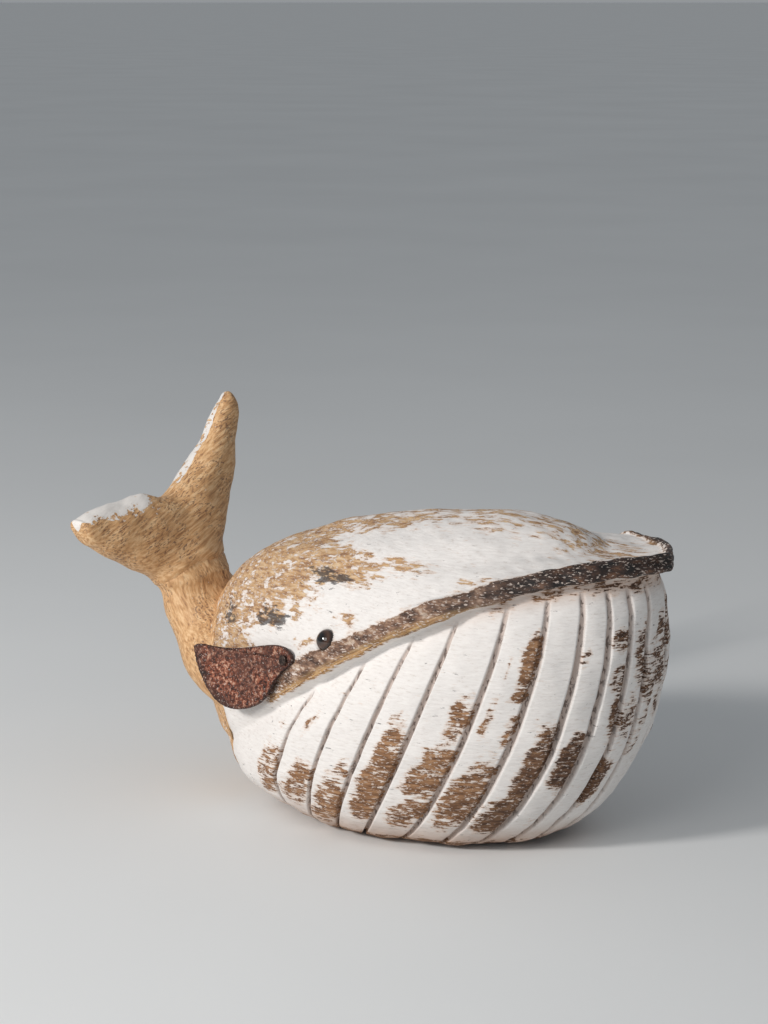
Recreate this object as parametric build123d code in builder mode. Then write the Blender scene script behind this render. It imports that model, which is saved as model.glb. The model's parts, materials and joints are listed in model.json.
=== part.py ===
from build123d import *
import os
from math import acos, copysign, cos, pi, radians, sin

os.makedirs("parts", exist_ok=True)

# Carved body: reach of the snout ahead of the origin, half width of the throat, height of the crown
SNOUT_REACH = 84.0
HALF_WIDTH = 49.5
CROWN_HEIGHT = 105.0
CROWN_ALONG = 19.0
LIP_OVERHANG = 4.5

# Throat pleats: knife cuts that all pass through one leaning axis inside the body
PLEAT_LEAN = 24.0
PLEAT_AXIS_HEIGHT = 50.0
PLEAT_WIDTH = 1.6
PLEAT_DEPTH = 1.9
PLEAT_REACH = 110.0
PLEAT_FOOT = 6.0
PLEAT_HALVINGS = 40
PLEAT_TURNS = (6.0, 13.0, 20.0, 28.0, 38.5, 51.0, 67.0, 81.0, 96.0, 113.0)

# Tail block: its stock rises behind the head, and the flukes are canted and turned as they were carved
TAIL_REACH = 102.0
TAIL_HEIGHT = 95.0
STOCK_HALF_WIDTH = 38.0
STOCK_HALF_DEPTH = 26.0
FLUKE_HALF_SPAN = 46.0
FLUKE_SIDE_SHARES = (1.0, -0.9)
FLUKE_ALONG = -96.0
FLUKE_HEIGHT = 77.0
FLUKE_LEAN = 10.0
FLUKE_CANT = 21.0
FLUKE_YAW = 14.0

# Joint between body and tail, and the dowel across it
JOINT_ALONG = -69.0
JOINT_HEIGHT = 45.0
JOINT_LEAN = 12.5
DOWEL_RADIUS = 6.0
DOWEL_IN_BODY = 22.0
DOWEL_IN_TAIL = 12.0
DOWEL_PLAY = 0.05
DOWEL_END_PLAY = 0.3

# Sheet-metal fin and the nail it hangs on
FIN_LENGTH = 46.0
FIN_DEPTH = 24.5
FIN_THICKNESS = 1.2
FIN_YAW = 16.0
FIN_PITCH = 8.0
FIN_STANDOFF = 0.6
FIN_HOLE_RADIUS = 0.75
NAIL_ALONG_SHARE = -0.333
NAIL_HEIGHT_SHARE = 0.561
NAIL_RADIUS = 0.7
NAIL_IN_BODY = 14.0
NAIL_PLAY = 0.02
NAIL_END_PLAY = 0.3
NAIL_HEAD_RADIUS = 1.6
NAIL_HEAD_HEIGHT = 0.8
NAIL_HEAD_ROUND = 0.3
NAIL_HEAD_GAP = 0.35

# Glass eye: a clear dome over a black pupil disc, pushed in on a wire pin
EYE_ALONG_SHARE = -0.160
EYE_HEIGHT_SHARE = 0.648
EYE_RADIUS = 3.5
EYE_SEAT = 1.0
EYE_DOME = 2.3
EYE_CAP_RADIUS = (EYE_RADIUS**2 + EYE_DOME**2) / (2 * EYE_DOME)
EYE_PLAY = 0.03
PUPIL_RADIUS = 1.8
PUPIL_THICKNESS = 0.5
PIN_RADIUS = 0.45
PIN_LENGTH = 10.0
PIN_END_PLAY = 0.3

# Carver's levels from the base to just under the crown. Each row holds shares of the sizes above:
# reach ahead, reach behind, width, rise ahead, rise behind, arch, lip flare, and how pointed the front is
LEVEL_SHARES = (
    (0.452, 0.470, 0.525, 0.000, 0.000, 0.000, 0.0, 1.00),
    (0.560, 0.535, 0.657, 0.019, 0.010, 0.000, 0.0, 1.00),
    (0.714, 0.630, 0.808, 0.105, 0.029, 0.010, 0.0, 1.00),
    (0.851, 0.725, 0.939, 0.276, 0.062, 0.029, 0.0, 0.92),
    (0.935, 0.805, 1.000, 0.457, 0.095, 0.057, 0.0, 0.92),
    (0.964, 0.845, 0.990, 0.629, 0.124, 0.086, 0.0, 0.92),
    (0.964, 0.869, 0.939, 0.762, 0.148, 0.105, 0.0, 1.00),
    (0.946, 0.893, 0.879, 0.857, 0.171, 0.114, 0.0, 1.15),
    (0.946, 0.917, 0.879, 0.895, 0.190, 0.114, 1.0, 1.45),
    (0.940, 0.952, 0.869, 0.931, 0.248, 0.105, 1.0, 1.45),
    (0.903, 0.994, 0.846, 0.925, 0.329, 0.092, 0.6, 1.39),
    (0.845, 1.024, 0.808, 0.918, 0.438, 0.076, 0.2, 1.30),
    (0.750, 0.929, 0.687, 0.918, 0.648, 0.048, 0.0, 1.20),
    (0.667, 0.738, 0.505, 0.946, 0.805, 0.038, 0.0, 1.10),
    (0.560, 0.500, 0.263, 0.979, 0.890, 0.029, 0.0, 1.00),
    (0.452, 0.262, 0.131, 0.994, 0.943, 0.014, 0.0, 1.00),
    (0.357, 0.024, 0.061, 0.999, 0.977, 0.005, 0.0, 1.00),
)
NECK_LEVEL = 7
HEAD_LEVEL = 13
LEVEL_POINTS = 20
ARCH_PEAK = 27 / 4
LIP_FULL_TURN = radians(95)
LIP_GONE_TURN = radians(140)

# Stations of the tail stock: along, height, heading in degrees, half width, half depth (lengths as shares)
STOCK_SHARES = (
    (-0.431, 0.379, 152, 0.780, 0.780),
    (-0.676, 0.474, 140, 0.680, 0.735),
    (-0.843, 0.600, 120, 0.447, 0.500),
    (-0.907, 0.705, 108, 0.395, 0.404),
    (-0.961, 0.874, 100, 0.237, 0.192),
)

# Half outline of the flukes from the notch round the tip to the root, as shares of the half span
FLUKE_TRAIL_SHARES = ((0.04, 0.470), (0.45, 0.655), (0.93, 0.830))
FLUKE_TIP_SHARES = ((0.93, 0.830), (1.00, 0.770), (0.95, 0.640))
FLUKE_LEAD_SHARES = ((0.95, 0.640), (0.65, 0.270), (0.33, -0.020), (0.00, -0.220))
FLUKE_MIDDLE_THICK_SHARE = 0.200
FLUKE_TIP_THICK_SHARE = 0.055
FLUKE_EDGE_SHARE = 0.030
FLUKE_CHORD_SHARES = (-0.60, 0.15, 0.90)
FLUKE_CREST_SHARE = 1.10
FLUKE_ROOM_SHARE = 1.10

# Fin outline about the nail, as shares of its length and depth
FIN_OUTLINE_SHARES = (
    (0.065, 0.010),
    (-0.070, 0.163),
    (-0.400, 0.025),
    (-0.720, -0.085),
    (-0.925, -0.095),
    (-0.955, -0.235),
    (-0.860, -0.520),
    (-0.700, -0.770),
    (-0.510, -0.840),
    (-0.310, -0.750),
    (-0.150, -0.520),
    (-0.055, -0.220),
)


def lip_fade(turn):
    """Share of the lip's overhang left at a turn from the snout: full at the front, none behind the fin."""
    share = (LIP_GONE_TURN - turn) / (LIP_GONE_TURN - LIP_FULL_TURN)
    share = min(max(share, 0), 1)
    return share * share * (3 - 2 * share)


def level_place(shares, turn, offset):
    """Place on one level at a turn from the snout, moved outward by an offset."""
    ahead, behind, width, rise_ahead, rise_behind, arch, flare, point = shares
    c, s = cos(turn), sin(turn)
    reach = c * (ahead if c > 0 else behind)
    half = width * (abs(s) ** point if c > 0 else abs(s))
    share = (reach + behind) / (ahead + behind)
    rise = rise_behind + (rise_ahead - rise_behind) * share
    rise += arch * ARCH_PEAK * share**2 * (1 - share)
    out = offset + LIP_OVERHANG * flare * lip_fade(acos(c))
    side = HALF_WIDTH * half + out * abs(s)
    return Vector(SNOUT_REACH * reach + out * c, copysign(side, s), CROWN_HEIGHT * rise)


def level_wire(shares):
    """Closed curve round the body at one level, begun at the back."""
    spread = [k / LEVEL_POINTS for k in range(LEVEL_POINTS + 1)]
    places = [level_place(shares, pi + 2 * pi * share, 0) for share in spread[:-1]]
    return Wire([Edge.make_spline(places, periodic=True, parameters=spread)])


def slope(heading):
    """Unit direction in the middle plane at a heading in degrees up from straight ahead."""
    return Vector(cos(radians(heading)), 0, sin(radians(heading)))


# Hull as carved, before the pleats are cut: base, throat, underside of the lip, face of the lip, head, crown
levels = [level_wire(shares) for shares in LEVEL_SHARES]
lip_low, lip_high = NECK_LEVEL + 1, NECK_LEVEL + 2
skins = [
    Shell.make_loft(levels[:lip_low]),
    Shell.make_loft(levels[NECK_LEVEL : lip_low + 1], ruled=True),
    Shell.make_loft(levels[lip_low : lip_high + 1], ruled=True),
    Shell.make_loft(levels[lip_high : HEAD_LEVEL + 1]),
    Shell.make_loft(levels[HEAD_LEVEL:] + [Vertex(CROWN_ALONG, 0, CROWN_HEIGHT)]),
]
hull_faces = [-Face(levels[0])]
for skin in skins:
    hull_faces += skin.faces()
with BuildPart() as blank:
    add(Solid(Shell(hull_faces)))

# Flukes: one canted blade, thin at its edges, the near lobe a little shorter
fluke_up = slope(90 + FLUKE_LEAN)
fluke_back = slope(180 + FLUKE_LEAN)
across = Vector(0, 1, 0)
level_span = across * cos(radians(FLUKE_YAW)) - fluke_back * sin(radians(FLUKE_YAW))
fluke_span = level_span * cos(radians(FLUKE_CANT)) + fluke_up * sin(radians(FLUKE_CANT))
fluke_sweep = fluke_up * cos(radians(FLUKE_CANT)) - level_span * sin(radians(FLUKE_CANT))
fluke_root = Vector(FLUKE_ALONG, 0, FLUKE_HEIGHT)
fluke_face = fluke_span.cross(fluke_sweep)


def outline(shares, side):
    """Places of one stretch of the fluke outline on one side of the notch."""
    return [(FLUKE_HALF_SPAN * side * out, FLUKE_HALF_SPAN * up) for out, up in shares]


with BuildPart() as flukes:
    with BuildSketch(Plane(fluke_root, x_dir=fluke_span, z_dir=fluke_face)):
        with BuildLine():
            for side in FLUKE_SIDE_SHARES:
                Spline(*outline(FLUKE_TRAIL_SHARES, side))
                ThreePointArc(*outline(FLUKE_TIP_SHARES, side))
                Spline(*outline(FLUKE_LEAD_SHARES, side))
            Line(*[outline(FLUKE_TRAIL_SHARES, side)[0] for side in FLUKE_SIDE_SHARES])
        make_face()
    room = FLUKE_HALF_SPAN * FLUKE_ROOM_SHARE
    extrude(amount=room, both=True)
    middle = FLUKE_HALF_SPAN * FLUKE_MIDDLE_THICK_SHARE
    tip = FLUKE_HALF_SPAN * FLUKE_TIP_THICK_SHARE
    edge = FLUKE_HALF_SPAN * FLUKE_EDGE_SHARE
    with BuildSketch(Plane(fluke_root, x_dir=fluke_span, z_dir=fluke_sweep)):
        with BuildLine():
            ThreePointArc((-room, tip), (0, middle), (room, tip))
            Line((room, tip), (room, -tip))
            ThreePointArc((room, -tip), (0, -middle), (-room, -tip))
            Line((-room, -tip), (-room, tip))
        make_face()
    extrude(amount=room, both=True, mode=Mode.INTERSECT)
    front, thick, back = [FLUKE_HALF_SPAN * share for share in FLUKE_CHORD_SHARES]
    crest = middle * FLUKE_CREST_SHARE
    with BuildSketch(Plane(fluke_root, x_dir=fluke_sweep, z_dir=fluke_span)):
        with BuildLine():
            ThreePointArc((front, edge), (thick, crest), (back, edge))
            Line((back, edge), (back, -edge))
            ThreePointArc((back, -edge), (thick, -crest), (front, -edge))
            Line((front, -edge), (front, edge))
        make_face()
    extrude(amount=room, both=True, mode=Mode.INTERSECT)

with BuildPart() as tail_form:
    for along, height, heading, wide, deep in STOCK_SHARES:
        station = Plane((TAIL_REACH * along, 0, TAIL_HEIGHT * height), x_dir=across, z_dir=slope(heading))
        with BuildSketch(station):
            Ellipse(STOCK_HALF_WIDTH * wide, STOCK_HALF_DEPTH * deep)
    loft()
    add(flukes.part)

# Knife plates of the pleats. The inner edge of each follows the throat at the depth of the cut
axis_up = slope(90 - PLEAT_LEAN)


def pleat_place(shares, plane, offset):
    """Where a level crosses the plane of a pleat, in that plane, found by halving the turn."""
    near, far = 0, pi
    for step in range(PLEAT_HALVINGS):
        turn = (near + far) / 2
        place = plane.to_local_coords(level_place(shares, turn, offset))
        near, far = (turn, far) if place.Z > 0 else (near, turn)
    return place.X, place.Y


with BuildPart() as pleat_cuts:
    for turn in PLEAT_TURNS:
        pleat_out = slope(-PLEAT_LEAN) * cos(radians(turn)) + across * sin(radians(turn))
        pleat_plane = Plane((0, 0, PLEAT_AXIS_HEIGHT), x_dir=pleat_out, z_dir=pleat_out.cross(axis_up))
        inner = [pleat_place(LEVEL_SHARES[0], pleat_plane, PLEAT_FOOT)]
        inner += [pleat_place(shares, pleat_plane, -PLEAT_DEPTH) for shares in LEVEL_SHARES[1:lip_low]]
        top = pleat_place(LEVEL_SHARES[lip_low], pleat_plane, PLEAT_DEPTH)
        foot = (inner[0][0], inner[0][1] - PLEAT_FOOT)
        with BuildSketch(pleat_plane):
            with BuildLine():
                Spline(*inner)
                Polyline(inner[-1], top, (PLEAT_REACH, top[1]), (PLEAT_REACH, foot[1]), foot, inner[0])
            make_face()
        extrude(amount=PLEAT_WIDTH / 2, both=True)
    mirror(about=Plane.XZ)

# Joint plane, facing backward
joint_plane = Plane((JOINT_ALONG, 0, JOINT_HEIGHT), x_dir=across, z_dir=slope(180 + JOINT_LEAN))

# Planes of the right-hand eye and fin, where the pin and the nail meet the wood
eye_ray = Axis((SNOUT_REACH * EYE_ALONG_SHARE, 0, CROWN_HEIGHT * EYE_HEIGHT_SHARE), (0, -1, 0))
eye_place, eye_out = blank.part.find_intersection_points(eye_ray)[-1]
eye_seat = Plane(eye_place - eye_out * EYE_SEAT, z_dir=eye_out)
fin_out = Vector(0, -1, 0).rotate(Axis.X, -FIN_PITCH).rotate(Axis.Z, -FIN_YAW)
fin_side = Vector(0, 0, 1).cross(fin_out)
fin_rise = fin_out.cross(fin_side)
nail_ray = Axis((SNOUT_REACH * NAIL_ALONG_SHARE, 0, CROWN_HEIGHT * NAIL_HEIGHT_SHARE), (0, -1, 0))
nail_place = blank.part.find_intersection_points(nail_ray)[-1][0]


def hull_rise(out, up):
    """How far the hull stands out under one place of the fin, from the place of the nail."""
    under = nail_place + fin_side * (FIN_LENGTH * out) + fin_rise * (FIN_DEPTH * up)
    hits = blank.part.find_intersection_points(Axis(under, fin_out))
    return max((place - nail_place).dot(fin_out) for place, normal in hits)


# The fin is held off the highest place under its outline
fin_rest = max(hull_rise(*shares) for shares in FIN_OUTLINE_SHARES)
fin_gap = fin_rest + FIN_STANDOFF
fin_plane = Plane(nail_place + fin_out * fin_gap, x_dir=fin_side, z_dir=fin_out)

# Dowel hole through the joint, blind at both ends
with BuildPart() as dowel_hole:
    with BuildSketch(joint_plane.offset(-DOWEL_IN_BODY - DOWEL_END_PLAY)):
        Circle(DOWEL_RADIUS + DOWEL_PLAY)
    extrude(amount=DOWEL_IN_BODY + DOWEL_IN_TAIL + 2 * DOWEL_END_PLAY)

# Eye sockets, pin holes and nail holes of both sides
with BuildPart() as right_holes:
    with BuildSketch(eye_seat):
        Circle(EYE_RADIUS + EYE_PLAY)
    extrude(amount=EYE_SEAT + EYE_DOME)
    with BuildSketch(eye_seat):
        Circle(PIN_RADIUS + EYE_PLAY)
    extrude(amount=-PIN_LENGTH - PIN_END_PLAY)
    with BuildSketch(fin_plane):
        Circle(NAIL_RADIUS + NAIL_PLAY)
    extrude(amount=-fin_gap - NAIL_IN_BODY - NAIL_END_PLAY)

with BuildPart() as body:
    add(blank.part)
    add(tail_form.part)
    split(bisect_by=joint_plane, keep=Keep.BOTTOM)
    add(pleat_cuts.part, mode=Mode.SUBTRACT)
    add(right_holes.part, mode=Mode.SUBTRACT)
    mirror(right_holes.part, about=Plane.XZ, mode=Mode.SUBTRACT)
    add(dowel_hole.part, mode=Mode.SUBTRACT)
body.part.label = "body"
export_step(body.part, "parts/body.step")

with BuildPart() as tail:
    add(blank.part)
    add(tail_form.part)
    split(bisect_by=joint_plane, keep=Keep.TOP)
    add(dowel_hole.part, mode=Mode.SUBTRACT)
tail.part.label = "tail"
export_step(tail.part, "parts/tail.step")

with BuildPart() as tail_dowel:
    with BuildSketch(joint_plane.offset(-DOWEL_IN_BODY)):
        Circle(DOWEL_RADIUS)
    extrude(amount=DOWEL_IN_BODY + DOWEL_IN_TAIL)
tail_dowel.part.label = "tail_dowel"
export_step(tail_dowel.part, "parts/tail_dowel.step")

with BuildPart() as right_fin:
    with BuildSketch(fin_plane):
        with BuildLine():
            Spline(*[(FIN_LENGTH * out, FIN_DEPTH * up) for out, up in FIN_OUTLINE_SHARES], periodic=True)
        make_face()
        Circle(FIN_HOLE_RADIUS, mode=Mode.SUBTRACT)
    extrude(amount=FIN_THICKNESS)
right_fin.part.label = "right_fin"
export_step(right_fin.part, "parts/right_fin.step")

with BuildPart() as right_fin_nail:
    head_seat = fin_plane.offset(FIN_THICKNESS + NAIL_HEAD_GAP)
    with BuildSketch(head_seat):
        Circle(NAIL_HEAD_RADIUS)
    extrude(amount=NAIL_HEAD_HEIGHT)
    fillet(right_fin_nail.edges().sort_by(Axis(head_seat.origin, head_seat.z_dir))[-1], NAIL_HEAD_ROUND)
    with BuildSketch(head_seat):
        Circle(NAIL_RADIUS)
    extrude(amount=-FIN_THICKNESS - NAIL_HEAD_GAP - fin_gap - NAIL_IN_BODY)
right_fin_nail.part.label = "right_fin_nail"
export_step(right_fin_nail.part, "parts/right_fin_nail.step")

with BuildPart() as right_eye_glass:
    with BuildSketch(eye_seat):
        Circle(EYE_RADIUS)
    extrude(amount=EYE_SEAT + EYE_DOME)
    with Locations(eye_seat.offset(EYE_SEAT + EYE_DOME - EYE_CAP_RADIUS)):
        Sphere(EYE_CAP_RADIUS, mode=Mode.INTERSECT)
    with BuildSketch(eye_seat):
        Circle(PUPIL_RADIUS)
    extrude(amount=PUPIL_THICKNESS, mode=Mode.SUBTRACT)
right_eye_glass.part.label = "right_eye_glass"
export_step(right_eye_glass.part, "parts/right_eye_glass.step")

with BuildPart() as right_eye_pupil:
    with BuildSketch(eye_seat):
        Circle(PUPIL_RADIUS - EYE_PLAY)
    extrude(amount=PUPIL_THICKNESS)
right_eye_pupil.part.label = "right_eye_pupil"
export_step(right_eye_pupil.part, "parts/right_eye_pupil.step")

with BuildPart() as right_eye_pin:
    with BuildSketch(eye_seat):
        Circle(PIN_RADIUS)
    extrude(amount=-PIN_LENGTH)
right_eye_pin.part.label = "right_eye_pin"
export_step(right_eye_pin.part, "parts/right_eye_pin.step")

# The unseen left side mirrors the right
with BuildPart() as left_fin:
    mirror(right_fin.part, about=Plane.XZ)
left_fin.part.label = "left_fin"
export_step(left_fin.part, "parts/left_fin.step")

with BuildPart() as left_fin_nail:
    mirror(right_fin_nail.part, about=Plane.XZ)
left_fin_nail.part.label = "left_fin_nail"
export_step(left_fin_nail.part, "parts/left_fin_nail.step")

with BuildPart() as left_eye_glass:
    mirror(right_eye_glass.part, about=Plane.XZ)
left_eye_glass.part.label = "left_eye_glass"
export_step(left_eye_glass.part, "parts/left_eye_glass.step")

with BuildPart() as left_eye_pupil:
    mirror(right_eye_pupil.part, about=Plane.XZ)
left_eye_pupil.part.label = "left_eye_pupil"
export_step(left_eye_pupil.part, "parts/left_eye_pupil.step")

with BuildPart() as left_eye_pin:
    mirror(right_eye_pin.part, about=Plane.XZ)
left_eye_pin.part.label = "left_eye_pin"
export_step(left_eye_pin.part, "parts/left_eye_pin.step")
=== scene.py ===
import json
import bpy
import numpy as np
from mathutils import Matrix


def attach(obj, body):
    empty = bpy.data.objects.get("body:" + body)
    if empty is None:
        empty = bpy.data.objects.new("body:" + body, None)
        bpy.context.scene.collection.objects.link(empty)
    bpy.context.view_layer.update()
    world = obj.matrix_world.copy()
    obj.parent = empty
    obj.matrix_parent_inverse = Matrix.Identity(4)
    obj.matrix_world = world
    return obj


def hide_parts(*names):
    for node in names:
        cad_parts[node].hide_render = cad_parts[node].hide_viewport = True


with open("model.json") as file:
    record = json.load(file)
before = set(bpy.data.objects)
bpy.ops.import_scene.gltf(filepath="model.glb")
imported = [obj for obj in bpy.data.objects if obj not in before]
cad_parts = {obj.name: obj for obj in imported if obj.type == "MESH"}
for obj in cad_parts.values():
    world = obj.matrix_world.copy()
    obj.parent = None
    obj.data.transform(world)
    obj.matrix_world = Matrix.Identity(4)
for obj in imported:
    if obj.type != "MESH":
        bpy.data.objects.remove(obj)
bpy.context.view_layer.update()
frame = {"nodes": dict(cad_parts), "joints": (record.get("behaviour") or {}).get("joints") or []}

# Body: one block of light wood, hand carved with a flared lip and knife-cut throat pleats.
# It was painted chalk white and then rubbed and chipped back to the wood, most at the lip and the chin.
# The tail block is doweled and glued to its sawn back. Sizes are in millimetres.
snout, half_width, crown, overhang = 84.0, 49.5, 105.0, 4.5
arch_peak = 27 / 4
lip_full, lip_gone = np.radians((95, 140))
pleat_lean, pleat_height = np.radians(24), 50.0
pleat_turns = np.radians([6, 13, 20, 28, 38.5, 51, 67, 81, 96, 113])
joint_along, joint_height, joint_slant = -69.0, 45.0, np.tan(np.radians(12.5))
# Carver's levels from base to crown, as shares of the sizes above:
# reach ahead and behind, width, rise ahead and behind, arch, lip flare, pointedness
levels = np.array([
    (0.452, 0.470, 0.525, 0.000, 0.000, 0.000, 0.0, 1.00),
    (0.560, 0.535, 0.657, 0.019, 0.010, 0.000, 0.0, 1.00),
    (0.714, 0.630, 0.808, 0.105, 0.029, 0.010, 0.0, 1.00),
    (0.851, 0.725, 0.939, 0.276, 0.062, 0.029, 0.0, 0.92),
    (0.935, 0.805, 1.000, 0.457, 0.095, 0.057, 0.0, 0.92),
    (0.964, 0.845, 0.990, 0.629, 0.124, 0.086, 0.0, 0.92),
    (0.964, 0.869, 0.939, 0.762, 0.148, 0.105, 0.0, 1.00),
    (0.946, 0.893, 0.879, 0.857, 0.171, 0.114, 0.0, 1.15),
    (0.946, 0.917, 0.879, 0.895, 0.190, 0.114, 1.0, 1.45),
    (0.940, 0.952, 0.869, 0.931, 0.248, 0.105, 1.0, 1.45),
    (0.903, 0.994, 0.846, 0.925, 0.329, 0.092, 0.6, 1.39),
    (0.845, 1.024, 0.808, 0.918, 0.438, 0.076, 0.2, 1.30),
    (0.750, 0.929, 0.687, 0.918, 0.648, 0.048, 0.0, 1.20),
    (0.667, 0.738, 0.505, 0.946, 0.805, 0.038, 0.0, 1.10),
    (0.560, 0.500, 0.263, 0.979, 0.890, 0.029, 0.0, 1.00),
    (0.452, 0.262, 0.131, 0.994, 0.943, 0.014, 0.0, 1.00),
    (0.357, 0.024, 0.061, 0.999, 0.977, 0.005, 0.0, 1.00)])


def smooth(low, high, value):
    """Share from 0 at low to 1 at high, with a soft start and end."""
    share = np.clip((value - low) / (high - low), 0, 1)
    return share * share * (3 - 2 * share)


def band(low, low_full, high_full, high, value):
    """Share that is 1 between the two full values and falls softly to 0 at the outer ones."""
    return smooth(low, low_full, value) * smooth(high, high_full, value)


def rows_at(rows, at):
    """Rows of a table at fractional places: each column is a cubic through its rows, whose slope at a row
    is the harmonic mean of the steps before and after it, and nil where the two differ in sign."""
    step = np.diff(rows, axis=0)
    both = step[:-1] * step[1:]
    total = np.where(both > 0, step[:-1] + step[1:], 1)
    slope = np.vstack([step[:1], np.where(both > 0, 2 * both / total, 0), step[-1:]])
    row = np.clip(np.floor(at).astype(int), 0, len(rows) - 2)
    part = (at - row)[:, None]
    straight = rows[row] + step[row] * part
    bend = slope[row] * (1 - part) - slope[row + 1] * part - step[row] * (1 - 2 * part)
    return straight + part * (1 - part) * bend


def body_place(at, turn):
    """Place on the carved body: a level is two half ellipses, lifted along its length by a straight rise
    and an arch, and pushed outward at the lip, whose overhang fades out behind the eye."""
    ahead, behind, width, fore, aft, arch, flare, point = rows_at(levels, at).T[:, :, None]
    forward, sideways = np.cos(turn), np.abs(np.sin(turn))
    reach = forward * np.where(forward > 0, ahead, behind)
    side = width * np.where(forward > 0, sideways ** point, sideways)
    share = (reach + behind) / (ahead + behind + 1e-9)
    rise = aft + (fore - aft) * share + arch * arch_peak * share ** 2 * (1 - share)
    out = overhang * flare * (1 - smooth(lip_full, lip_gone, turn))
    return np.stack([snout * reach + out * forward, half_width * side + out * sideways, crown * rise], -1)


def joint_face(height):
    """Where along the body the sawn joint lies at a height: a plane that leans back as it rises."""
    return joint_along - joint_slant * (height - joint_height)


def turn_where(at, shape, before):
    """Turn from the snout at which a level meets a plane, halved down between the front and the back."""
    near, far = np.zeros(shape), np.full(shape, np.pi)
    for halving in range(40):
        turn = (near + far) / 2
        still = before(body_place(at, turn))
        near, far = np.where(still, turn, near), np.where(still, far, turn)
    return (near + far) / 2


def pleat_turn(place):
    """Turn of a place about the leaning axis that all pleats pass through."""
    ahead = place[..., 0] * np.cos(pleat_lean) - (place[..., 2] - pleat_height) * np.sin(pleat_lean)
    return np.arctan2(np.abs(place[..., 1]), ahead)


def ripple(place, size, seed, count=28):
    """Smooth random height about 1 high: a sum of sine waves of about one size, in random directions."""
    pick = np.random.default_rng(seed)
    way = pick.normal(size=(count, 3)) * 2 * np.pi / (1.6 * np.asarray(size))
    return np.sin(place @ way.T + pick.uniform(0, 2 * np.pi, count)).sum(-1) * np.sqrt(2 / count)


def waves(place, rows):
    """Sum of ripples, one for each row of a height, a size and a seed."""
    return sum(height * ripple(place, size, seed) for height, size, seed in rows)


def normals(grid):
    """Outward directions of a grid whose columns close on themselves: step across crossed with step up."""
    across = np.roll(grid, -1, 1) - np.roll(grid, 1, 1)
    up = np.gradient(grid, axis=0)
    out = np.cross(across, up)
    return out / np.maximum(np.linalg.norm(out, axis=-1, keepdims=True), 1e-9)


def sheet(name, grid, ring=False, **marks):
    """Closed mesh of a grid in millimetres: columns close on themselves, and each end on its middle place,
    or as a ring the last row on the first. Marks are named values, one per grid place, for the material."""
    if ring:
        grid = np.concatenate([grid, grid[:1]])
        marks = {label: np.concatenate([value, value[:1]]) for label, value in marks.items()}
    rows, cols = grid.shape[:2]
    ends = np.stack([grid[0].mean(0), grid[-1].mean(0)])
    row, col = np.meshgrid(np.arange(rows - 1), np.arange(cols), indexing="ij")
    beside = (col + 1) % cols
    first, above = row * cols, (row + 1) * cols
    quads = np.stack([first + col, first + beside, above + beside, above + col], -1)
    col, beside, end = col[0], beside[0], rows * cols
    low = np.stack([np.full(cols, end), beside, col], -1)
    high = np.stack([np.full(cols, end + 1), end - cols + col, end - cols + beside], -1)
    faces = quads.reshape(-1, 4).tolist() + ([] if ring else low.tolist() + high.tolist())
    mesh = bpy.data.meshes.new(name)
    mesh.from_pydata(np.vstack([grid.reshape(-1, 3), ends]) * 0.001, [], faces)
    mesh.polygons.foreach_set("use_smooth", np.ones(len(mesh.polygons), bool))
    for label, value in marks.items():
        kept = np.concatenate([value.reshape(-1), [value[0].mean(), value[-1].mean()]])
        mesh.attributes.new(label, "FLOAT", "POINT").data.foreach_set("value", kept.astype(np.float32))
    mesh.update()
    piece = bpy.data.objects.new(name, mesh)
    bpy.context.scene.collection.objects.link(piece)
    return piece


def node_places(name):
    """Corners of a built node in millimetres, each once."""
    mesh = frame["nodes"][name].data
    places = np.empty(3 * len(mesh.vertices))
    mesh.vertices.foreach_get("co", places)
    return np.unique(np.round(places.reshape(-1, 3) * 1000, 3), axis=0)


def part_of(rows, value):
    """Greatest share of any row of a table. A row is a middle and a half size on each axis, and a strength;
    its share falls softly with the squared distance from the middle, counted in half sizes."""
    most = np.zeros(value[0].shape)
    for row in rows:
        spread = sum(((v - m) / h) ** 2 for v, m, h in zip(value, row[0:-1:2], row[1:-1:2]))
        most = np.maximum(most, row[-1] * smooth(2.2, 0.15, spread))
    return most


# Right eye, as it was built: its pin points out of the wood, and its glass is let in to the seat
eye_radius, eye_seat = 3.5, 1.0
pin = node_places("right_eye_pin")
eye_out = np.linalg.svd(pin - pin.mean(0))[2][0]
eye_out = eye_out * -np.sign(eye_out[1])
eye_foot = (node_places("right_eye_glass") @ eye_out).min()
eye_place = pin.mean(0) + eye_out * (eye_foot + eye_seat - pin.mean(0) @ eye_out)

# The grid's columns follow the pleats and crowd at each cut and at the eyes; its rows crowd at lip and eyes
highest_pleated = 11
cut_offsets = np.radians([0, 0.45, 0.66, 0.87, 1.08, 1.5])
at_cuts = (pleat_turns[:, None] + np.concatenate([-cut_offsets[:0:-1], cut_offsets])).ravel()
fill = np.concatenate([np.arange(0, 108, 1.4), np.arange(109, 118.5, 0.6), np.arange(119, 180.1, 1.9)])
fill = np.radians(fill)
clear = np.abs(fill[:, None] - at_cuts).min(1) > np.radians(0.4)
columns = np.sort(np.concatenate([at_cuts, fill[clear | (fill == 0)]]))
columns[-1] = np.pi
at = np.concatenate([np.linspace(0, 6.5, 96), np.linspace(6.56, 9.2, 44),
                     np.linspace(9.25, 10.3, 34), np.linspace(10.4, 16, 56)])
turn = turn_where(np.minimum(at, highest_pleated), (len(at), len(columns)),
                  lambda place: pleat_turn(place) < columns)
half_body = body_place(at, turn)
grid = np.concatenate([half_body, half_body[:, -2:0:-1] * (1, -1, 1)], 1)
wrap = np.r_[0:len(columns), len(columns) - 2:0:-1]
around, turned = np.tile(columns[wrap], (len(at), 1)), turn[:, wrap]
level = np.repeat(at[:, None], len(wrap), 1)
along, side, height = np.moveaxis(grid, -1, 0)
front = smooth(12, 62, along)
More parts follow.
